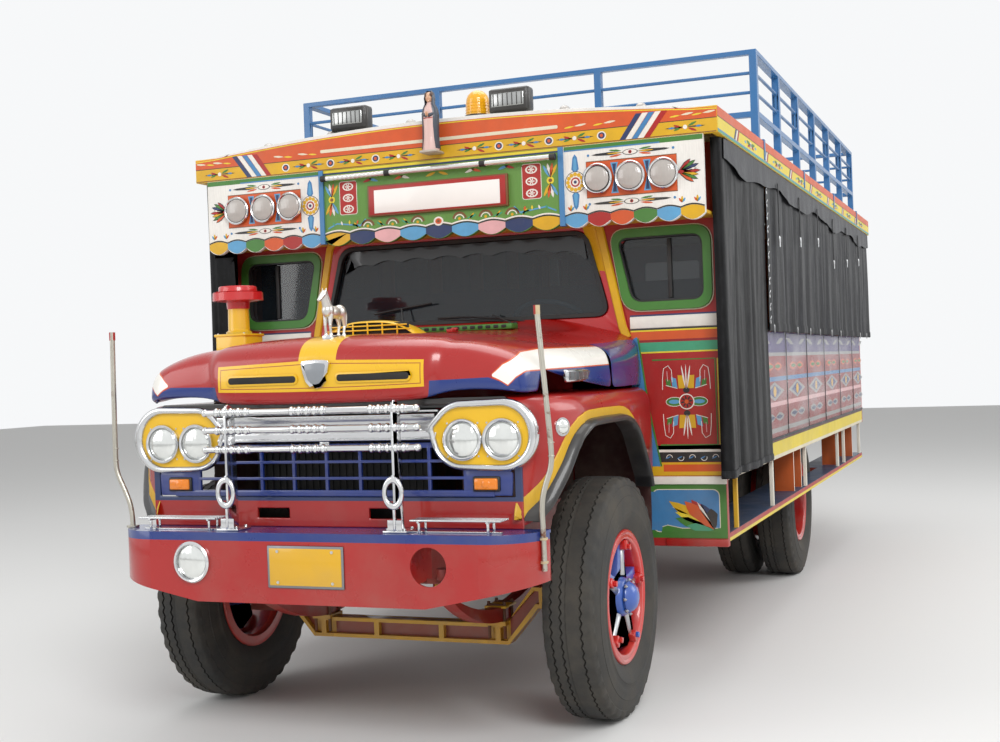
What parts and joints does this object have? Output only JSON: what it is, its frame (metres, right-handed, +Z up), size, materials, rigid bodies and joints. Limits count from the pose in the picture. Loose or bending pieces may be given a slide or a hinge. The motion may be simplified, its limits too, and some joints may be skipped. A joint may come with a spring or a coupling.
{
  "type": "chiva bus",
  "caption": "Bonneted truck bus with open wooden body, painted boards, side curtains, roof rack, bumper guard and twin rear wheels",
  "frame": {"origin": "centre of the bounding box at ground level", "axes": "+Z up, front towards -Y, the vehicle's left towards +X"},
  "size_m": [2.742, 7.265, 3.0999],
  "materials": {
    "red_paint": "gloss enamel",
    "blue_paint": "gloss enamel",
    "yellow_paint": "gloss enamel",
    "rack_blue": "brushed enamel",
    "frame_paint": "dull chassis paint",
    "axle_paint": "red oxide with yellow edges",
    "spring_steel": "dark worn steel",
    "iron": "rough cast",
    "tyre": "worn black rubber",
    "chrome": "polished",
    "lamp": "reflector behind ribbed lens",
    "glass": "tinted",
    "wood_paint": "gloss painted boards",
    "fascia_paint": "white boards with painted ornaments",
    "floor_wood": "worn boards",
    "bench_paint": "painted boards",
    "roof_paint": "white sheet with painted bands",
    "step_paint": "painted boards",
    "statue_paint": "painted plaster",
    "black_plastic": "moulded",
    "tarp": "coated tarpaulin",
    "clear_sheet": "clear flexible sheet"
  },
  "bodies": {
    "body": {"chassis_frame": "frame_paint", "front_axle": "axle_paint", "leaf_springs": "spring_steel", "rear_axle": "iron", "engine_and_drive": "iron", "exhaust": "spring_steel", "bumper": "red_paint", "bumper_guard": "chrome", "front_panel": "red_paint", "lower_grille": "blue_paint", "grille_housing": "chrome", "round_lamps": "lamp", "wing_left": "red_paint", "wing_right": "red_paint", "cab_front": "red_paint", "front_wall": "wood_paint", "window_glass": "glass", "steering_wheel": "black_plastic", "floor": "floor_wood", "body_side_left": "wood_paint", "body_side_right": "wood_paint", "rear_wall": "wood_paint", "benches": "bench_paint", "running_boards": "step_paint", "roof": "roof_paint", "fascia": "fascia_paint", "statue": "statue_paint", "roof_lamps": "black_plastic", "roof_rack": "rack_blue", "tarp_left": "tarp", "tarp_right": "tarp", "clear_curtain": "clear_sheet"},
    "bonnet": {"hood": "red_paint", "hood_ornament": "chrome", "air_intake": "yellow_paint"},
    "knuckle_l": {"knuckle_left": "iron"},
    "knuckle_r": {"knuckle_right": "iron"},
    "wheel_fl": {"wheel_front_left": "blue_paint", "tyre_front_left": "tyre"},
    "wheel_fr": {"wheel_front_right": "blue_paint", "tyre_front_right": "tyre"},
    "wheels_rl": {"wheels_rear_left": "red_paint", "tyres_rear_left": "tyre"},
    "wheels_rr": {"wheels_rear_right": "red_paint", "tyres_rear_right": "tyre"}
  },
  "joints": [
    {"name": "bonnet_hinge", "type": "hinge", "parent": "body", "child": "bonnet", "pos_m": [0, -2.5985, 1.668], "axis": [-1, 0, 0], "range_deg": [0, 55]},
    {"name": "steer_left", "type": "hinge", "parent": "body", "child": "knuckle_l", "pos_m": [0.72, -2.6975, 0.5], "axis": [0, 0, 1], "range_deg": [-28, 28]},
    {"name": "steer_right", "type": "hinge", "parent": "body", "child": "knuckle_r", "pos_m": [-0.72, -2.6975, 0.5], "axis": [0, 0, 1], "range_deg": [-28, 28]},
    {"name": "front_wheel_left", "type": "hinge", "parent": "knuckle_l", "child": "wheel_fl", "pos_m": [0.905, -2.6975, 0.508], "axis": [1, 0, 0], "continuous": true},
    {"name": "front_wheel_right", "type": "hinge", "parent": "knuckle_r", "child": "wheel_fr", "pos_m": [-0.905, -2.6975, 0.508], "axis": [1, 0, 0], "continuous": true},
    {"name": "rear_wheels_left", "type": "hinge", "parent": "body", "child": "wheels_rl", "pos_m": [0.8545, 1.2125, 0.508], "axis": [1, 0, 0], "continuous": true},
    {"name": "rear_wheels_right", "type": "hinge", "parent": "body", "child": "wheels_rr", "pos_m": [-0.8545, 1.2125, 0.508], "axis": [1, 0, 0], "continuous": true}
  ],
  "couplings": [
    {"joint": "steer_right", "follows": "steer_left", "ratio": 1}
  ]
}
